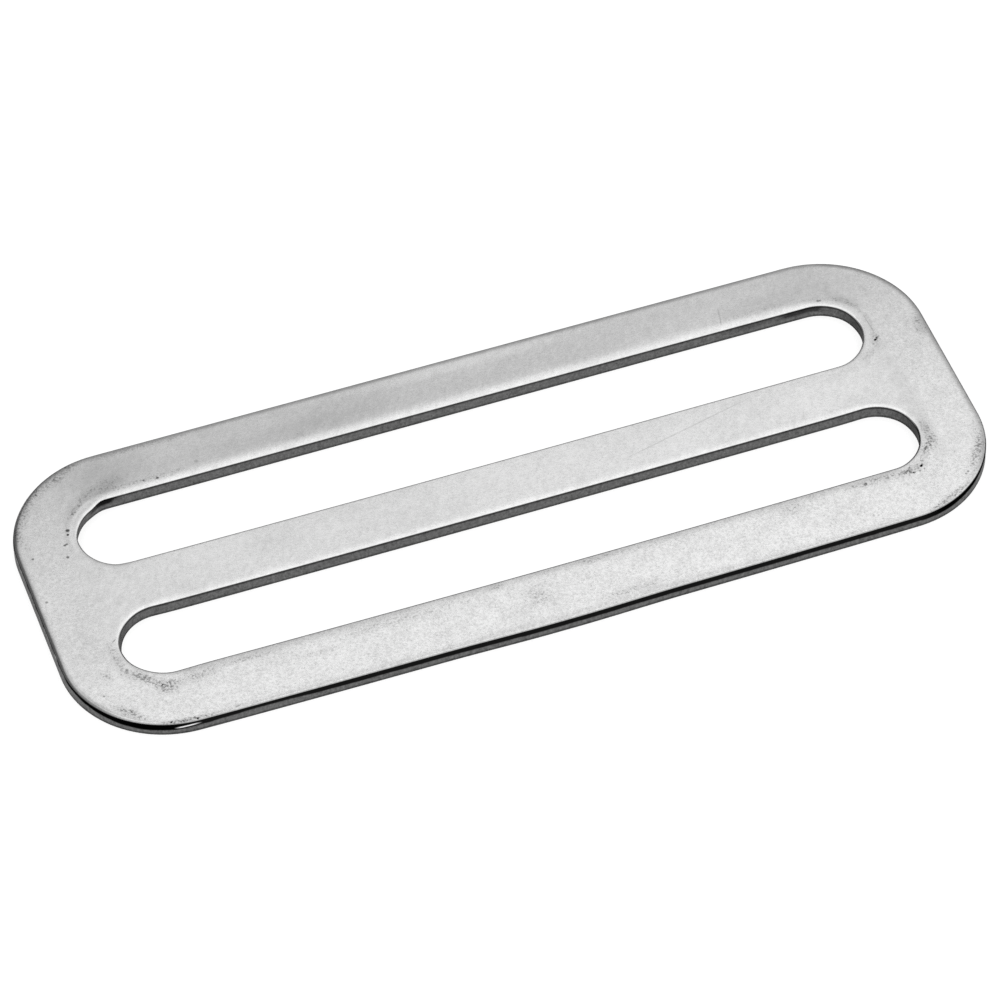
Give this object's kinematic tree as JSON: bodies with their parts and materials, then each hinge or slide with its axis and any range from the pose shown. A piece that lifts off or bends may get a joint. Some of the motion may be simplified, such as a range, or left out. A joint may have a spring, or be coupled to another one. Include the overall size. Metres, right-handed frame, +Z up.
{
  "type": "tri-glide slide",
  "caption": "Flat stamped steel slide with rounded corners and parallel through slots that hold and adjust wide strap webbing.",
  "frame": {"origin": "middle of the flat underside, which rests on the surface", "axes": "+X along the slots, +Y towards the back bar, +Z up out of the face with the rolled edges"},
  "size_m": [0.0914, 0.0348, 0.0015],
  "materials": {
    "tumbled_steel": "satin"
  },
  "bodies": {
    "root": {"slide_plate": "tumbled_steel"}
  },
  "joints": []
}
